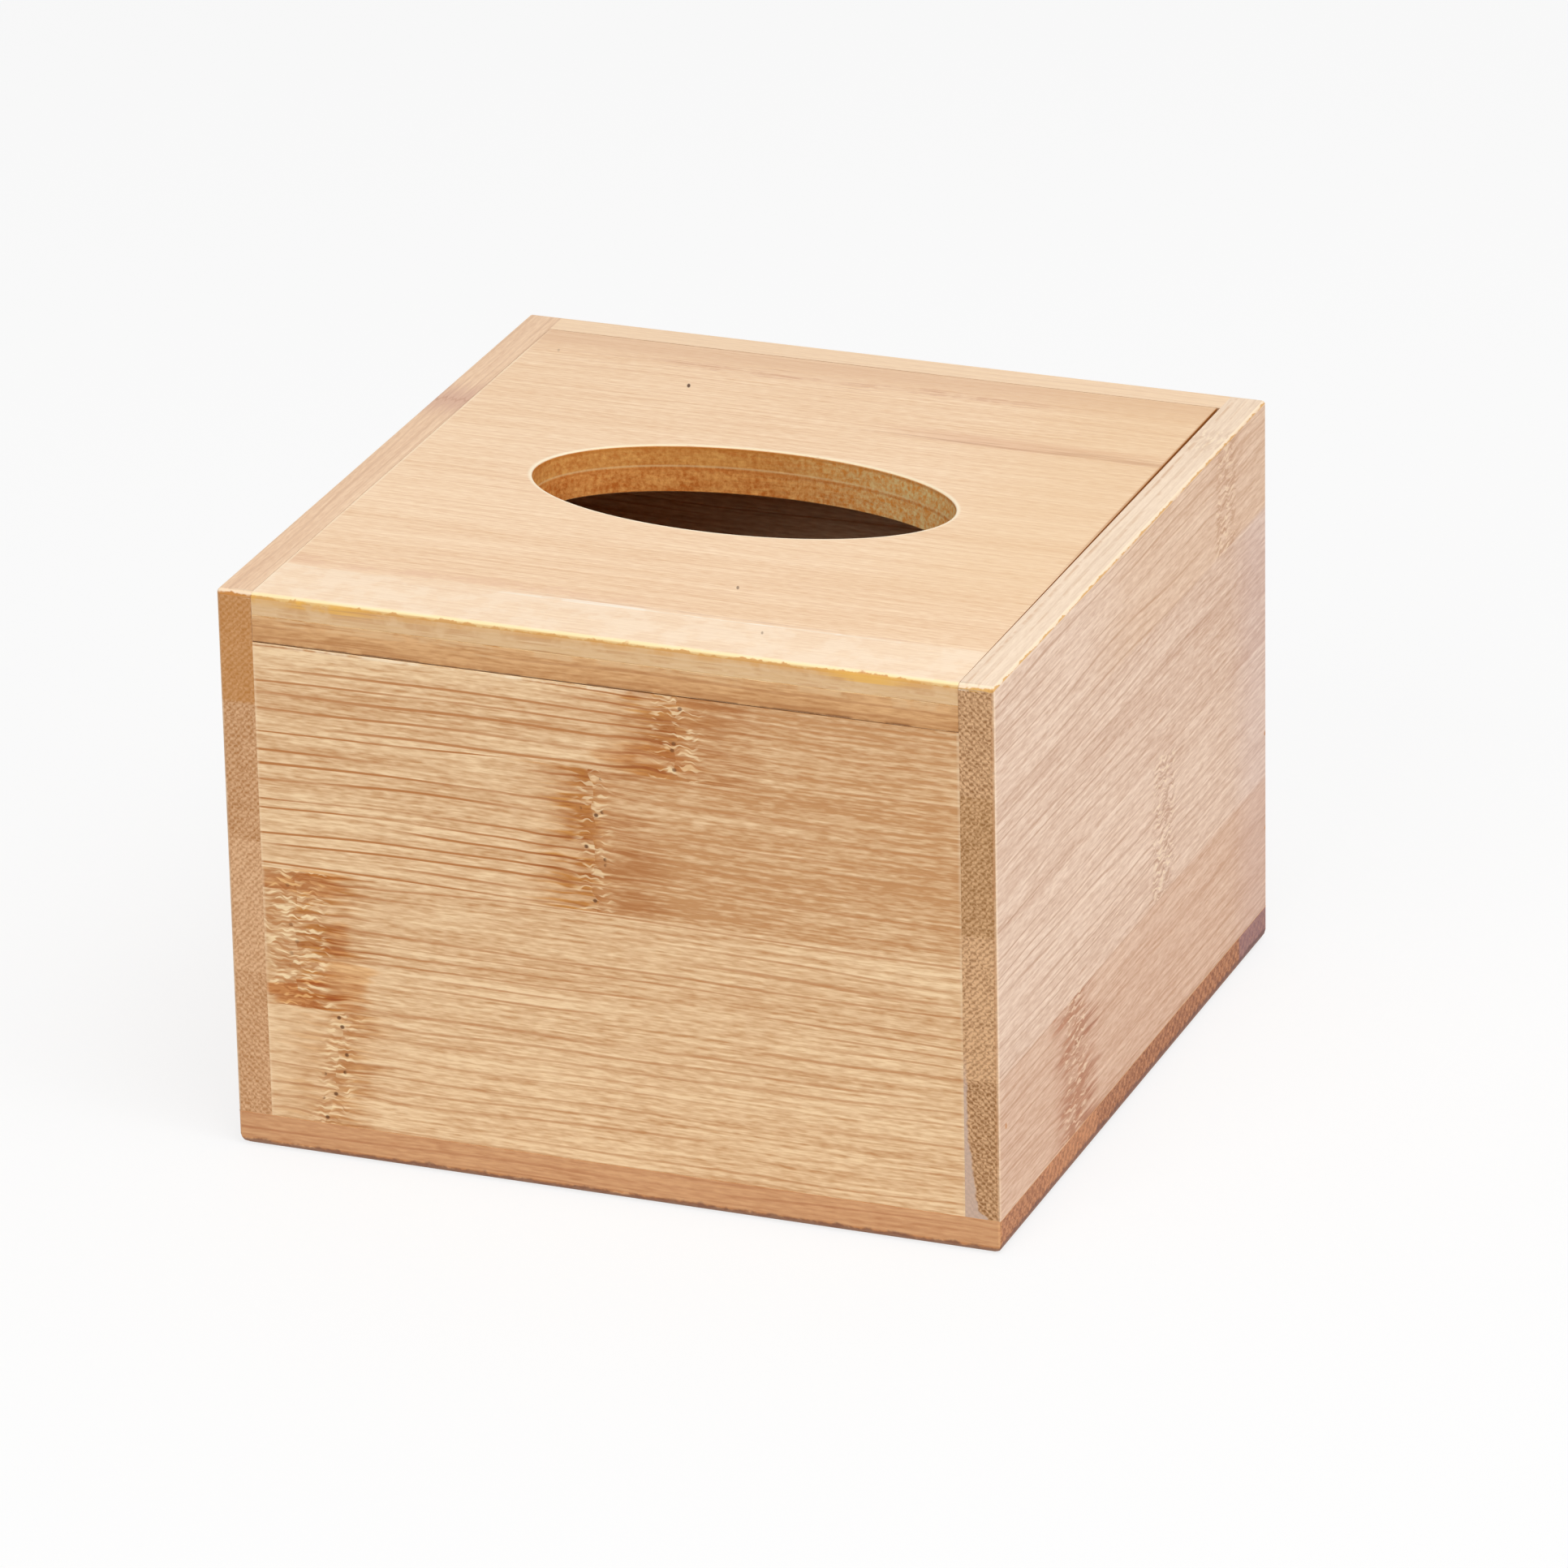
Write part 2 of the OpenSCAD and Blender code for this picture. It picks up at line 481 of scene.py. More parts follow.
    def add_cut_ends(self, colour):
        """The cut ends of the fibres, which show as a weave of slanting dashes."""
        wood = self.wood
        warp = self.noise((self.side, WEAVE_PACE), (self.deep, WEAVE_PACE), (self.seed,),
                          detail=2.0)
        rising = self.times(self.plus(self.side, self.deep), wood.end_turns)
        falling = self.times(self.minus(self.side, self.deep), wood.end_turns)
        rising = self.math("SINE", self.plus(rising, self.about(warp, RISING_BEND)))
        falling = self.math("SINE", self.minus(falling, self.about(warp, FALLING_BEND)))
        self.ends = self.plus(
            self.times(rising, self.between(self.weave, STRONG_WAY, FAINT_WAY)),
            self.times(falling, self.between(self.weave, FAINT_WAY, STRONG_WAY)),
            self.about(self.grit, 0.35))
        speckle = self.noise((self.side, 0.35), (self.deep, 0.5), (self.seed,),
                             detail=2.0, roughness=0.6)
        share = self.plus(0.50, self.end_tone, self.about(speckle, 0.4),
                          self.times(self.ends, wood.end_contrast))
        ends = self.blend(share, tone(wood.end_dark), tone(wood.end_light))
        return self.blend(self.on_end, colour, ends)

    def add_rims_and_highlights(self, colour, upright_rim):
        """Sanded edges with a painted highlight: paler where they face up, golden brown and ragged
        below.
        """
        border_noise = self.cloud(0.35, detail=3.0, roughness=0.65)
        lift = self.size(self.facing[Z])
        level = self.times(self.step(lift, 0.06, 0.20), self.step(lift, 0.99, 0.94))
        corner = self.times(self.size(self.facing[X]), self.size(self.facing[Y]))
        upright = self.times(self.step(corner, 0.05, 0.30), upright_rim)
        low = self.times(self.step(self.plus(lift, self.about(border_noise, 2.4)), 0.58, 0.38), level)
        # The pale rim colour is partly a painted highlight on the rounded edge.
        rim_and_highlight_colour = self.blend(low, tone(self.wood.rim), tone(self.wood.rim_dark))
        return self.blend(self.times(self.most(level, upright), 0.85), colour, rim_and_highlight_colour)

    def make_surface(self, colour):
        """The shader, with a relief of fibres, cut ends, growth lines and pores."""
        height = self.plus(self.times(self.hair, 0.9), self.times(self.grit, 0.35),
                           self.times(self.thin, -0.15))
        height = self.between(self.on_end, height, self.ends)
        height = self.minus(height, self.times(self.pores, 0.4))
        values = {"Height": height, "Strength": RELIEF, "Distance": RELIEF_DEPTH}
        bump = self.add("ShaderNodeBump", values)
        rough = self.plus(ROUGHNESS, self.times(self.hair, HAIR_ROUGHNESS))
        values = {"Base Color": colour, "Roughness": rough, "Normal": bump.outputs[0],
                  "Specular IOR Level": SHEEN}
        shader = self.add("ShaderNodeBsdfPrincipled", values)
        self.add("ShaderNodeOutputMaterial", {"Surface": shader.outputs[0]})


def looks(board, face):
    """1 where the surface looks the way of one face of the box, and 0 elsewhere."""
    axis, way = face
    return board.step(board.times(board.facing[axis], way), 0.7, 0.9)


def speck(face, place, length, strength=1.0, turn=110.0, slim=3.2, colour=(92, 60, 36),
          ragged=0.0):
    """A fleck on one face, at a place along the face's own two axes.

    A ragged one frays along the fibres, and is a tint that they show through."""

    def paint(board, base):
        axes = [axis for axis in AXES if axis != face[0]]
        cos, sin = math.cos(math.radians(turn)), math.sin(math.radians(turn))
        right, up = [board.minus(board.point[axis], middle) for axis, middle in zip(axes, place)]
        far = board.plus(board.times(right, cos / length), board.times(up, sin / length))
        wide = board.minus(board.times(up, slim * cos / length),
                           board.times(right, slim * sin / length))
        gap = board.plus(board.times(far, far), board.times(wide, wide))
        if not ragged:
            spot = board.times(board.step(gap, 0.38, 0.09), looks(board, face), strength)
            return board.blend(spot, base, tone(colour))
        gap = board.plus(gap, board.about(board.fibres(*FRAYS), ragged))
        spot = board.times(board.step(gap, 0.42, 0.05), looks(board, face), strength)
        return board.tint(spot, base, tone(colour))

    return paint


def wash(colour, share, face, axis, low, high, soft=0.6, along=X, run=(-90.0, 90.0), fade=12.0,
         broken=0.0, ragged=0.0):
    """A wash of another tone on one face, between two places on an axis, for a run along another.

    A broken wash comes and goes along its length. A ragged one's borders follow the fibres."""

    def paint(board, base):
        place = board.point[axis]
        if ragged:
            place = board.plus(place, board.about(board.hair, ragged))
        amount = board.times(board.within(place, low, high, soft), looks(board, face), share)
        amount = board.times(amount, board.within(board.point[along], *run, fade))
        if broken:
            gaps = board.step(board.cloud(0.18, detail=3.0, roughness=0.7), 0.42, 0.58)
            amount = board.times(amount, board.between(gaps, 1.0 - broken, 1.0))
        return board.blend(amount, base, tone(colour))

    return paint


def filler(board, base):
    """Greyish filler in the joint low on the right of the front, wider towards the base."""
    x, _, z = board.point
    ragged = board.about(board.noise((x, 0.7), (z, 0.5), detail=3.0), 0.9)
    slope = board.times(board.step(z, 21.0, 3.0), 1.5)
    foot = board.times(board.step(z, 6.6, 5.4), 1.4)
    wide = board.plus(0.5, slope, foot, ragged)
    beside = board.minus(x, inner_x / MM)
    past_joint = board.step(beside, -0.15, 0.05)
    inside = board.times(past_joint, board.step(board.minus(beside, wide), 0.15, -0.25))
    amount = board.times(inside, board.step(z, 31.0, 23.0), looks(board, FRONT), 0.8)
    return board.blend(amount, base, tone((200, 175, 160)))


def slot_wall(light, dark):
    """The sawn wall of the slot: golden brown and finely speckled, with painted light that makes
    it paler on the right.

    It has a brown line along its top, and a pale and a dark one where the two plies meet."""

    def paint(board, base):
        x, y, z = board.point
        marks = board.noise((x, 1.5), (y, 1.5), (z, 1.3), detail=3.0, roughness=0.7)
        burns = board.noise((x, 0.16), (y, 0.16), (z, 0.7), detail=2.0, roughness=0.6)
        share = board.plus(0.44, board.about(marks, 2.6), board.about(burns, 1.4))
        wall = board.blend(share, tone(dark), tone(light))
        # Painted light: the wall turns paler towards the right.
        pale_share = board.plus(0.5, board.about(marks, 4.0))
        pale = board.blend(pale_share, tone((255, 174, 78)), tone((255, 240, 176)))
        wall = board.blend(board.times(board.step(x, -8.0, 24.0), 0.7), wall, pale)
        over = board.minus(z, PLY_JOINT)
        pale_line = board.times(board.within(over, 0.0, 0.25, 0.15), 0.5)
        wall = board.blend(pale_line, wall, tone((255, 222, 166)))
        dark_line = board.times(board.within(over, -0.5, -0.1, 0.2), 0.5)
        wall = board.blend(dark_line, wall, tone(dark))
        top_line = board.times(board.step(z, LID_TOP - 0.9, LID_TOP - 0.4), 0.6)
        wall = board.blend(top_line, wall, tone((206, 122, 40)))
        upright = board.step(board.size(board.facing[Z]), 0.75, 0.35)
        near_slot = board.times(board.step(board.size(x), 46.0, 44.0),
                                board.step(board.size(y), 30.0, 28.0))
        return board.blend(board.times(near_slot, upright), base, wall)

    return paint


def slot_highlight(board, base):
    """A painted highlight round the slot: a pale line, fainter along the back."""
    x, y, _ = board.point
    across = board.times(board.minus(x, SLOT_MIDDLE.x / MM), 2 * MM / (SLOT_LENGTH + SLOT_RIM))
    along = board.times(y, 2 * MM / (SLOT_WIDTH + SLOT_RIM))
    around = board.plus(board.times(across, across), board.times(along, along))
    level = board.step(board.facing[Z], 0.3, 0.6)
    clear = board.between(board.step(y, 4.0, 12.0), 0.85, 0.55)
    amount = board.times(board.step(around, 1.02, 0.98), level, clear)
    return board.blend(amount, base, tone((255, 240, 212)))


def painted_foot_shade(board, base):
    """Painted shade: a dark line along the foot of the box, wider where the fibres are cut."""
    border_noise = board.cloud(0.5, detail=3.0, roughness=0.6)
    top = board.plus(1.10, board.times(board.on_end, 0.70), board.about(border_noise, 1.6))
    amount = board.times(board.step(board.minus(board.point[Z], top), 0.35, -0.25), 0.7)
    amount = board.times(amount, board.step(board.facing[Z], -0.97, -0.90))
    return board.blend(amount, base, tone((98, 62, 58)))


FRONT_WOOD = Wood(
    dark=(196, 144, 94), light=(243, 211, 168), line=(184, 122, 68), stain=(214, 172, 113),
    pore=(100, 60, 28), end_dark=(160, 112, 66), end_light=(220, 180, 134), rim=(255, 230, 184),
    rim_dark=(206, 146, 78), contrast=1.0, end_contrast=2.4)
SIDE_WOOD = Wood(
    dark=(202, 160, 132), light=(245, 218, 195), line=(184, 136, 106), stain=(208, 170, 152),
    pore=(150, 108, 86), end_dark=(144, 99, 56), end_light=(220, 176, 132), rim=(252, 228, 196),
    rim_dark=(222, 170, 94), contrast=0.85, end_contrast=2.4)
LEFT_WOOD = SIDE_WOOD._replace(
    dark=(206, 160, 126), light=(246, 214, 182), end_dark=(168, 112, 58),
    end_light=(224, 180, 138), rim_dark=(200, 134, 68), end_contrast=1.8)
BACK_WOOD = FRONT_WOOD._replace(dark=(204, 160, 118), light=(242, 212, 176))
LID_WOOD = Wood(
    dark=(229, 186, 144), light=(253, 224, 190), line=(218, 170, 130), stain=(224, 205, 190),
    pore=(150, 108, 80), end_dark=(184, 116, 58), end_light=(226, 168, 108), rim=(255, 232, 172),
    rim_dark=(210, 146, 74), contrast=0.85, end_contrast=1.8)
CORE_WOOD = FRONT_WOOD._replace(
    dark=(188, 134, 82), light=(222, 174, 122), line=(168, 110, 62), contrast=1.2)
BASE_WOOD = FRONT_WOOD._replace(
    dark=(186, 128, 84), light=(216, 166, 120), line=(172, 106, 64), end_dark=(130, 70, 36),
    end_light=(206, 142, 97), rim=(226, 172, 122), rim_dark=(204, 142, 90), contrast=0.95,
    end_contrast=1.9, end_turns=3.0)
RUNNER_WOOD = FRONT_WOOD._replace(dark=(188, 142, 96), light=(228, 190, 146))

front_bamboo = Bamboo(
    "front bamboo", X, Z, FRONT_WOOD, seed=3.0, upright_rim=0.0,
    strips=(
        Strip(0.0, knot=-44.2, lean=0.16, reach=8.0, wide=2.3, mark=0.9, pores=0.9,
              stain=(0.45, 0.7), tone=(0.09, 0.05), lines=(0.5, 0.45)),
        Strip(22.8, knot=-47.5, reach=10.5, wide=4.6, mark=1.0, pores=0.4,
              stain=(0.4, 1.0), tone=(-0.06, 0.02), lines=(0.5, 0.62)),
        Strip(43.7, knot=-2.0, reach=9.5, wide=2.4, mark=0.7, pores=0.9,
              stain=(1.0, 0.55), tone=(0.05, -0.33), lines=(1.0, 0.4)),
        Strip(65.2, knot=11.0, reach=12.0, wide=3.6, mark=0.8, pores=0.7,
              stain=(0.9, 0.7), tone=(0.02, -0.29), lines=(0.9, 0.4))),
    touches=(
        speck(FRONT, (-48.0, 24.6), 12.0, strength=0.8, turn=0.0, slim=3.4,
              colour=(232, 188, 130), ragged=1.6),
        speck(FRONT, (-40.0, 27.6), 9.0, strength=0.6, turn=75.0, slim=1.3,
              colour=(238, 204, 156), ragged=1.6),
        speck(FRONT, (-41.2, 34.0), 5.4, strength=0.6, turn=80.0, slim=1.5,
              colour=(232, 194, 144), ragged=1.2),
        speck(FRONT, (-46.0, 42.0), 13.0, strength=0.7, turn=0.0, slim=3.4,
              colour=(232, 192, 136), ragged=1.6),
        speck(FRONT, (6.0, 68.4), 12.0, strength=0.4, turn=0.0, slim=2.4,
              colour=(236, 196, 140), ragged=1.6),
        wash((240, 212, 176), 0.35, FRONT, X, -54.0, -52.0, soft=0.2, broken=0.5),
        # Painted highlight: pale dashes along the top edge of the panel, under the lid.
        wash((252, 232, 200), 0.7, FRONT, Z, 77.2, 79.0, soft=0.15, run=(-50.0, 4.0),
             broken=1.0, ragged=1.0),
        wash((226, 200, 168), 0.35, FRONT, X, 52.0, 54.0, soft=0.2, broken=0.5)))
right_bamboo = Bamboo(
    "right side bamboo", Y, Z, SIDE_WOOD, seed=11.0,
    strips=(
        Strip(0.0, knot=-26.5, reach=9.0, wide=4.2, mark=0.85, stain=(1.0, 0.95),
              tone=(-0.10, -0.16), lines=(0.5, 0.4), end_tone=-0.06, weave=0.25),
        Strip(26.2, knot=12.0, reach=6.0, wide=4.5, mark=0.8, stain=(0.15, 0.15),
              tone=(0.08, 0.03), lines=(0.5, 0.3), end_tone=0.20, weave=0.8),
        Strip(47.8, knot=12.0, reach=6.0,
              tone=(0.06, -0.21), lines=(0.5, 0.25), end_tone=-0.04, weave=0.7),
        Strip(68.5, knot=39.5, reach=7.0, wide=4.5, mark=0.8, stain=(0.2, 0.2),
              tone=(0.06, -0.05), lines=(0.5, 0.4), end_tone=0.06, weave=0.3)),
    touches=(
        wash((255, 236, 208), 0.5, TOP, X, 0.0, 60.0),
        wash((204, 156, 112), 0.45, TOP, X, 53.1, 53.5, soft=0.15, broken=1.0, ragged=0.8),
        wash((204, 156, 112), 0.35, TOP, X, 55.0, 55.3, soft=0.15, broken=1.0, ragged=0.8),
        # Painted shade: a dark orange-brown band at the top of the inner face, in the seam beside
        # the lid.
        wash((196, 124, 56), 0.7, LEFT, Z, 84.0, 86.0, soft=0.3),
        wash((214, 164, 110), 0.22, RIGHT, Z, 68.5, 90.0, along=Y, run=(-10.0, 90.0), fade=16.0),
        wash((206, 184, 190), 0.22, RIGHT, Z, 5.0, 68.5, along=Y, run=(46.0, 90.0), fade=8.0),
        wash((208, 148, 102), 0.20, RIGHT, Z, 0.0, 26.2),
        wash((176, 130, 70), 0.2, FRONT, Z, 47.8, 68.5, soft=0.3),
        wash((170, 112, 62), 0.6, FRONT, X, 57.0, 58.0, soft=0.25, broken=0.4),
        speck(RIGHT, (-54.9, 18.7), 1.0, slim=1.4, colour=(206, 146, 98)),
        speck(RIGHT, (57.0, 33.0), 1.2, slim=1.6, turn=0.0, colour=(200, 140, 92)),
        speck(RIGHT, (57.0, 18.0), 1.0, slim=1.6, turn=0.0, colour=(206, 150, 104)),
        filler))
left_bamboo = Bamboo(
    "left side bamboo", Y, Z, LEFT_WOOD, seed=23.0,
    strips=(
        Strip(0.0, knot=34.0, reach=9.0, wide=3.0, mark=0.6, stain=(0.5, 0.4),
              tone=(-0.05, -0.15), end_tone=0.05, weave=0.3),
        Strip(27.2, knot=-18.0, reach=10.0, wide=3.5, mark=0.6, stain=(0.4, 0.5),
              tone=(0.05, -0.05), end_tone=0.20, weave=0.8),
        Strip(47.4, tone=(0.0, -0.1), end_tone=-0.02, weave=0.7),
        Strip(68.3, tone=(0.0, -0.05), end_tone=-0.04, weave=0.8)),
    touches=(
        wash((246, 212, 176), 0.4, TOP, X, -60.0, 0.0),
        wash((206, 162, 142), 0.6, TOP, Y, 16.0, 26.0, soft=4.0, ragged=10.0),
        wash((184, 132, 108), 0.5, TOP, Y, 20.6, 21.3, soft=0.5, ragged=6.0),
        wash((190, 126, 52), 0.5, FRONT, Z, 68.3, 90.0, soft=0.3),
        wash((170, 112, 62), 0.45, FRONT, X, -58.0, -57.0, soft=0.3, broken=0.8)))
back_bamboo = Bamboo(
    "back bamboo", X, Z, BACK_WOOD, seed=37.0, upright_rim=0.0,
    strips=(
        Strip(0.0, knot=4.0, reach=9.0, mark=0.6, pores=0.7,
              stain=(0.5, 0.4), tone=(0.0, -0.1)),
        Strip(19.5, knot=-34.0, reach=11.0, wide=4.0, mark=0.9, pores=0.5,
              stain=(0.6, 0.8), tone=(-0.1, 0.0), lines=(0.4, 0.6)),
        Strip(40.6, knot=26.0, reach=12.0, wide=3.0, mark=0.8, pores=0.8,
              stain=(0.7, 0.4), tone=(0.05, -0.12), lines=(0.7, 0.3)),
        Strip(61.5, tone=(0.04, 0.04))),
    touches=(wash((252, 222, 188), 0.65, TOP, Y, 0.0, 60.0),))
base_bamboo = Bamboo(
    "base bamboo", X, Y, BASE_WOOD, seed=41.0, upright_rim=0.3,
    strips=(
        Strip(-60.0, end_tone=0.06, weave=0.3),
        Strip(-39.5, knot=18.0, mark=0.7, pores=0.6, stain=(0.5, 0.5),
              tone=(-0.05, 0.05), end_tone=0.24, weave=0.9),
        Strip(-17.6, knot=-26.0, mark=0.7, pores=0.6, stain=(0.6, 0.5),
              tone=(0.0, -0.1), end_tone=-0.04),
        Strip(3.6, knot=30.0, mark=0.7, pores=0.6, stain=(0.5, 0.4), end_tone=-0.06, weave=0.7),
        Strip(24.7, end_tone=-0.04, weave=0.3),
        Strip(44.8, end_tone=-0.20)),
    # The last touch is painted shade along the foot of the base.
    touches=(wash((154, 122, 132), 0.5, RIGHT, Y, 45.0, 60.0), painted_foot_shade))
lid_bamboo = Bamboo(
    "lid face bamboo", X, Y, LID_WOOD, seed=53.0, upright_rim=0.0,
    strips=(
        Strip(-60.0, tone=(0.08, 0.08), lines=(0.1, 0.1)),
        Strip(-44.7, lines=(0.2, 0.2)),
        Strip(-23.9, tone=(0.06, 0.06), lines=(0.2, 0.2)),
        Strip(-2.9, tone=(0.07, 0.07), lines=(0.1, 0.1)),
        Strip(18.1, lines=(0.2, 0.2)),
        Strip(39.2, tone=(-0.02, -0.02), lines=(0.3, 0.3))),
    touches=(
        wash((255, 234, 208), 0.6, TOP, Y, -60.0, -45.7, soft=0.8, broken=0.5, ragged=7.0),
        wash((206, 158, 128), 0.5, TOP, Y, -45.5, -45.1, soft=0.2, run=(-14.0, 44.0),
             broken=0.6, ragged=1.5),
        wash((255, 248, 236), 0.6, TOP, Y, -46.4, -45.9, soft=0.2, run=(-20.0, 40.0),
             broken=0.6, ragged=1.5),
        wash((228, 182, 152), 0.4, TOP, Y, -44.8, -42.2, soft=0.8, run=(-60.0, 0.0),
             broken=0.7, ragged=6.0),
        wash((200, 159, 98), 0.55, FRONT, Y, -60.0, -50.0),
        wash((210, 150, 76), 0.6, FRONT, Z, 83.7, 84.7, soft=0.3, broken=0.6, ragged=1.5),
        wash((234, 180, 84), 0.8, FRONT, Z, 83.3, 84.8, soft=0.3, run=(-60.0, -36.0), fade=5.0,
             broken=0.8, ragged=2.5),
        wash((234, 180, 84), 0.8, FRONT, Z, 83.3, 84.8, soft=0.3, run=(34.0, 44.0), fade=4.0,
             ragged=2.5),
        # Painted shade: a dark orange-brown band at the top of the right end, in the seam beside
        # the board.
        wash((196, 124, 56), 0.8, RIGHT, Z, 83.6, 86.0, soft=0.4),
        # Painted highlight: a pale line along the left edge of the top.
        wash((255, 234, 204), 0.5, TOP, X, -53.0, -51.9, soft=0.12, broken=0.5),
        wash((196, 142, 92), 0.5, FRONT, Z, PLY_JOINT + 0.8, PLY_JOINT + 2.0, soft=0.3,
             broken=0.9, ragged=6.0),
        wash((178, 122, 74), 0.75, FRONT, Z, PLY_JOINT - 1, PLY_JOINT + 0.1, soft=0.15,
             broken=0.7, ragged=1.5),
        wash((220, 176, 140), 0.5, TOP, Y, 46.5, 60.0, soft=2.6, ragged=12.0),
        wash((204, 150, 118), 0.6, TOP, Y, 44.2, 45.4, soft=0.6, run=(-34.0, 32.0),
             broken=0.7, ragged=8.0),
        wash((226, 180, 146), 0.6, TOP, Y, 27.6, 31.0, soft=1.4, run=(14.0, 48.0), ragged=8.0),
        wash((190, 138, 108), 0.6, TOP, Y, 27.4, 28.4, soft=0.5, run=(12.0, 60.0), ragged=6.0),
        # Painted shade: a dark band along the right edge of the top, for the seam, fading towards
        # the front.
        wash((178, 112, 52), 0.8, TOP, X, 51.7, 53.0, soft=0.2, along=Y, run=(-6.0, 60.0),
             fade=24.0),
        wash((232, 192, 142), 0.28, TOP, X, 30.0, 60.0, soft=14.0, along=Y, run=(-30.0, 60.0)),
        slot_wall((246, 182, 100), (212, 130, 56)),
        # Painted highlight round the slot
        slot_highlight,
        speck(TOP, (-24.1, 36.8), 1.6),
        speck(TOP, (11.3, -34.4), 1.3, strength=0.7),
        speck(TOP, (-47.7, 44.5), 1.2, strength=0.25),
        speck(TOP, (20.5, -48.8), 1.1, strength=0.5)))
core_bamboo = Bamboo(
    "lid core bamboo", X, Y, CORE_WOOD, seed=67.0, upright_rim=0.0,
    strips=(
        Strip(-60.0),
        Strip(-40.0, tone=(0.1, 0.1)),
        Strip(-19.0),
        Strip(2.0, tone=(-0.1, -0.1)),
        Strip(23.0)),
    touches=(
        wash((222, 184, 138), 0.6, FRONT, Z, PLY_JOINT - 0.7, PLY_JOINT + 1.0, soft=0.5,
             broken=0.9, ragged=5.0),
        wash((176, 118, 66), 0.5, FRONT, Z, LID_FOOT - 1, LID_FOOT + 1.0, soft=0.7, broken=0.6),
        # Painted shade: dark dashes along the lower edge, at the gap over the front panel.
        wash((112, 68, 38), 0.6, FRONT, Z, LID_FOOT - 1, LID_FOOT + 0.2, soft=0.15,
             broken=1.0, ragged=0.8),
        slot_wall((255, 186, 104), (208, 116, 42))))
runner_bamboo = Bamboo("runner bamboo", Y, Z, RUNNER_WOOD, seed=71.0, strips=(Strip(0.0),))


def place_mesh(name, shape):
    """Puts a finished shape in the scene as an object of its own."""
    mesh = bpy.data.meshes.new(name)
    shape.to_mesh(mesh)
    shape.free()
    return place_object(name, mesh)


def place_object(name, data):
    thing = bpy.data.objects.new(name, data)
    bpy.context.scene.collection.objects.link(thing)
    return thing


def solid(name, low, high):
    """A closed block between two corners, whose place is in its points."""
    shape = bmesh.new()
    bmesh.ops.create_cube(shape, size=1.0)
    middle = (low + high) / 2
    for vertex in shape.verts:
        vertex.co = Vector(middle[i] + vertex.co[i] * (high[i] - low[i]) for i in AXES)
    return place_mesh(name, shape)


def oval(name, low_z, high_z):
    """The block that the slot takes out of the lid."""
    shape = bmesh.new()
    ring = []
    for i in range(SLOT_STEPS):
        turn = 2 * math.pi * i / SLOT_STEPS
        ring.append(shape.verts.new((SLOT_MIDDLE.x + SLOT_LENGTH / 2 * math.cos(turn),
                                     SLOT_MIDDLE.y + SLOT_WIDTH / 2 * math.sin(turn), low_z)))
    grown = bmesh.ops.extrude_face_region(shape, geom=[shape.faces.new(ring)])
    for part in grown["geom"]:
        if isinstance(part, bmesh.types.BMVert):
            part.co.z = high_z
    bmesh.ops.recalc_face_normals(shape, faces=shape.faces)
    return place_mesh(name, shape)


def carve(piece, cutter):
    """Takes the cutter's shape out of the piece, and deletes the cutter."""
    cut = piece.modifiers.new("cut", "BOOLEAN")
    cut.operation = "DIFFERENCE"
    cut.solver = "EXACT"
    cut.object = cutter
    settled = piece.evaluated_get(bpy.context.evaluated_depsgraph_get())
    mesh = bpy.data.meshes.new_from_object(settled)
    piece.modifiers.clear()
    piece.data = mesh
    bpy.data.objects.remove(cutter)


def near(first, second):
    return abs(first - second) < PLANE_GAP


def on_slot(place):
    flat = place - SLOT_MIDDLE
    around = math.hypot(2 * flat.x / SLOT_LENGTH, 2 * flat.y / SLOT_WIDTH)
    return abs(around - 1) < SLOT_GAP


def edge_radius(first, second):
    """Radius of an edge, from the faces of the whole box that it lies on, or from the slot."""

    def on(axis, value):
        return near(first[axis], value) and near(second[axis], value)

    top, bottom, front = on(Z, cad_high.z), on(Z, cad_low.z), on(Y, cad_low.y)
    if on_slot(first) and on_slot(second):
        if top:
            return SLOT_EDGE
        return LOOSE_EDGE if on(Z, lid_low.z) else 0.0
    faces = [top, bottom, front, on(Y, cad_high.y), on(X, cad_low.x), on(X, cad_high.x)]
    if sum(faces) >= 2:
        if bottom:
            return FOOT_EDGE
        return FRONT_TOP_EDGE if top and front else OUTER_EDGE
    level = abs(first.z - second.z) < PANEL_TAPER
    return TINY_EDGE if any(faces) and level and not top else 0.0


def round_edges(piece):
    """Rounds each edge by its own radius, as a weight on one bevel."""
    mesh = piece.data
    weights = mesh.attributes.new("bevel_weight_edge", "FLOAT", "EDGE")
    for edge in mesh.edges:
        first, second = [mesh.vertices[i].co for i in edge.vertices]
        weights.data[edge.index].value = edge_radius(first, second) / FOOT_EDGE
    for face in mesh.polygons:
        face.use_smooth = True
    mesh.set_sharp_from_angle(angle=SHARP_ANGLE)
    bevel = piece.modifiers.new("edges", "BEVEL")
    bevel.limit_method = "WEIGHT"
    bevel.width = FOOT_EDGE
    bevel.segments = EDGE_SEGMENTS
    bevel.harden_normals = True
    bevel.use_clamp_overlap = False


def finish_piece(piece, node, body, wood):
    """Rounds a piece, gives it its material and puts it in the place of its CAD node."""
    round_edges(piece)
    piece.data.materials.append(wood.material)
    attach(piece, body)
    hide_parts(node)


def plain_board(node, wood):
    finish_piece(solid("shown_" + node, *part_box(node)), node, "box", wood)


def side_board(node, runner, wood):
    """A side board, with the stopped groove that its runner sits in."""
    piece = solid("shown_" + node, *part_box(node))
    carve(piece, solid("groove", *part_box(runner)))
    finish_piece(piece, node, "box", wood)


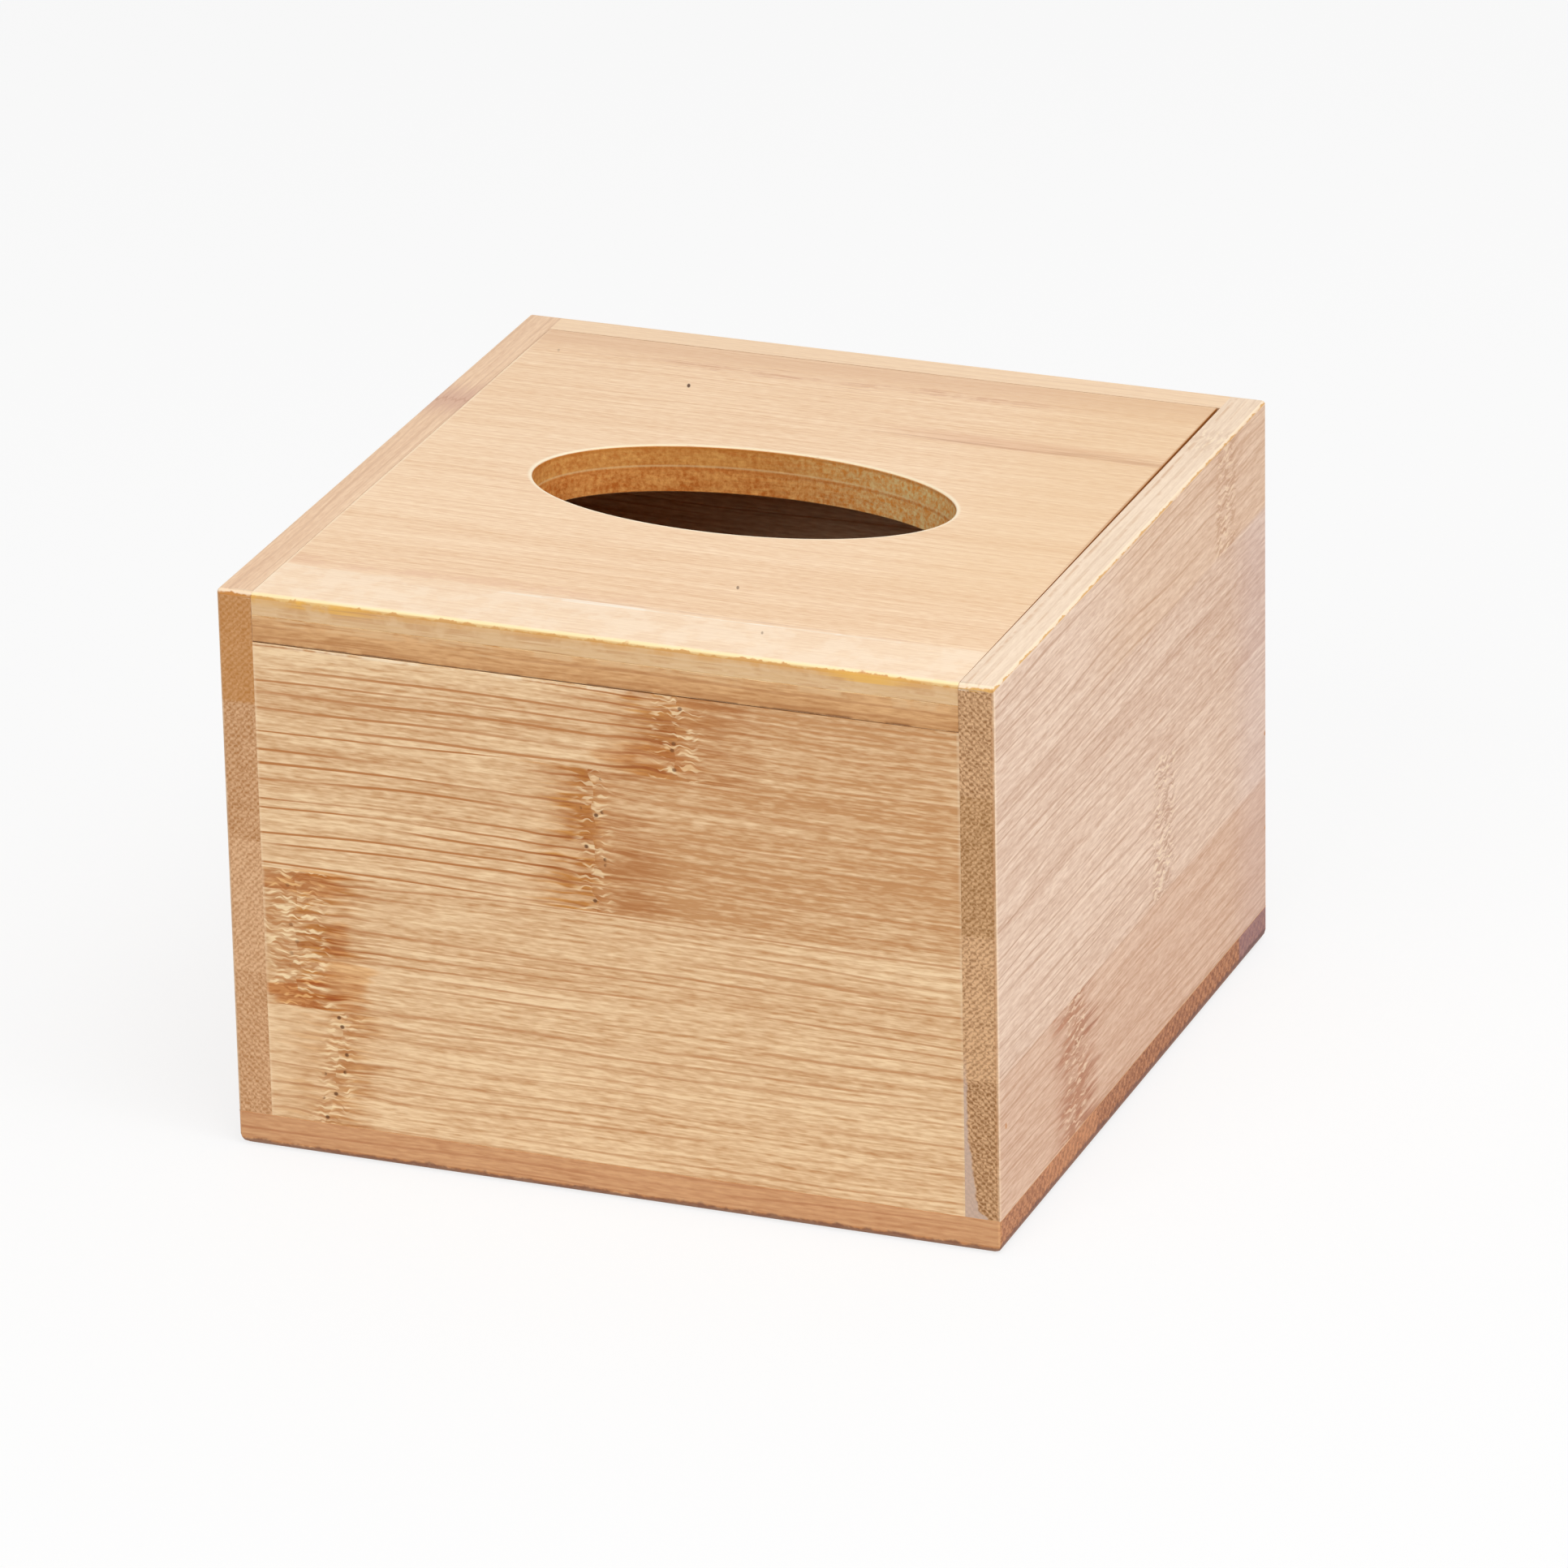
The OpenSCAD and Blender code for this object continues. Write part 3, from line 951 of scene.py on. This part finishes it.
def front_board(node, wood):
    """The front panel, whose top rises on the right and so closes the gap under the lid."""
    low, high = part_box(node)
    piece = solid("shown_" + node, low, high)
    shape = bmesh.new()
    shape.from_mesh(piece.data)
    bmesh.ops.bisect_plane(shape, geom=list(shape.verts) + list(shape.edges) + list(shape.faces),
                           plane_co=(0, 0, 0), plane_no=(1, 0, 0))
    for vertex in shape.verts:
        if near(vertex.co.z, high.z):
            vertex.co.z += PANEL_LIFT + (PANEL_TAPER if near(vertex.co.x, high.x) else 0.0)
    shape.to_mesh(piece.data)
    shape.free()
    finish_piece(piece, node, "box", wood)


def lid_ply(node, wood, rebated):
    """A ply of the lid, with its slot, a close left edge and a right one that is out of square."""
    low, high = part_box(node)
    piece = solid("shown_" + node, low, high)
    carve(piece, oval("slot", low.z - OVERCUT, high.z + OVERCUT))
    if rebated:
        for side in (-1, 1):
            cut_rebate(piece, side, high)
    for vertex in piece.data.vertices:
        if near(vertex.co.x, low.x):
            vertex.co.x -= LEFT_FIT
        if near(vertex.co.x, high.x):
            share = (vertex.co.y - low.y) / (high.y - low.y)
            vertex.co.x += RIGHT_FRONT_FIT + share * (RIGHT_BACK_FIT - RIGHT_FRONT_FIT)
    finish_piece(piece, node, "lid", wood)


def cut_rebate(piece, side, high):
    """Cuts the rebate for one runner: open at the side and the back, and closed at the front."""
    inner, outer = side * (inner_x - REBATE_DEPTH), side * (inner_x + OVERCUT)
    front_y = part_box("right_runner")[0].y - REBATE_GAP
    low_corner = Vector((min(inner, outer), front_y, high.z - REBATE_HEIGHT))
    high_corner = Vector((max(inner, outer), high.y + OVERCUT, high.z + OVERCUT))
    carve(piece, solid("rebate", low_corner, high_corner))


def lay_floor():
    """A pale floor, which keeps the shadow of the box."""
    floor = solid("floor", Vector((-FLOOR_HALF, -FLOOR_HALF, -FLOOR_DEPTH)),
                  Vector((FLOOR_HALF, FLOOR_HALF, cad_low.z)))
    paint = bpy.data.materials.new("floor")
    ground = Graph(paint)
    matt = ground.add("ShaderNodeBsdfDiffuse", {"Color": FLOOR_MATT})
    white = ground.add("ShaderNodeEmission", {"Color": WHITE, "Strength": 1.0})
    share = ground.times(ground.unseen(), FLOOR_LEVEL)
    both = ground.add("ShaderNodeMixShader", {0: share, 1: matt.outputs[0], 2: white.outputs[0]})
    ground.add("ShaderNodeOutputMaterial", {"Surface": both.outputs[0]})
    floor.data.materials.append(paint)


def light_world():
    """Even white light from all round."""
    world = bpy.data.worlds.new("studio")
    bpy.context.scene.world = world
    sky = Graph(world)
    level = sky.between(sky.unseen(), WORLD_LEVEL, 1.0)
    background = sky.add("ShaderNodeBackground", {"Color": WHITE, "Strength": level})
    sky.add("ShaderNodeOutputWorld", {"Surface": background.outputs[0]})


def softbox(name, place, width, power):
    """A square soft light that points at the middle of the box."""
    light = bpy.data.lights.new(name, "AREA")
    light.shape = "SQUARE"
    light.size = width
    light.energy = power
    lamp = place_object(name, light)
    lamp.location = place
    lamp.rotation_mode = "QUATERNION"
    aim = (cad_low + cad_high) / 2 - Vector(place)
    lamp.rotation_quaternion = aim.to_track_quat("-Z", "Y")


def place_camera():
    """The camera, where the fit to the picture puts it."""
    data = bpy.data.cameras.new("camera")
    data.sensor_width = SENSOR
    data.lens = FOCAL_PIXELS / PICTURE * SENSOR
    data.clip_start = CAMERA_NEAR
    data.clip_end = CAMERA_FAR
    camera = place_object("camera", data)
    right = CAMERA_DOWN.cross(CAMERA_FORWARD).normalized()
    turn = Matrix((right, -CAMERA_DOWN.normalized(), -CAMERA_FORWARD.normalized())).transposed()
    camera.matrix_world = Matrix.Translation(CAMERA_PLACE) @ turn.to_4x4()
    bpy.context.scene.camera = camera


plain_board("base_board", base_bamboo)
plain_board("back_panel", back_bamboo)
side_board("left_side_board", "left_runner", left_bamboo)
side_board("right_side_board", "right_runner", right_bamboo)
front_board("front_panel", front_bamboo)
lid_ply("lid_upper_ply", lid_bamboo, rebated=False)
lid_ply("lid_lower_ply", core_bamboo, rebated=True)
for runner in ("left_runner", "right_runner"):
    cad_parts[runner].data.materials.clear()
    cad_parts[runner].data.materials.append(runner_bamboo.material)

lay_floor()
light_world()
for lamp in SOFTBOXES:
    softbox(*lamp)
place_camera()
bpy.context.scene.view_settings.view_transform = "Standard"
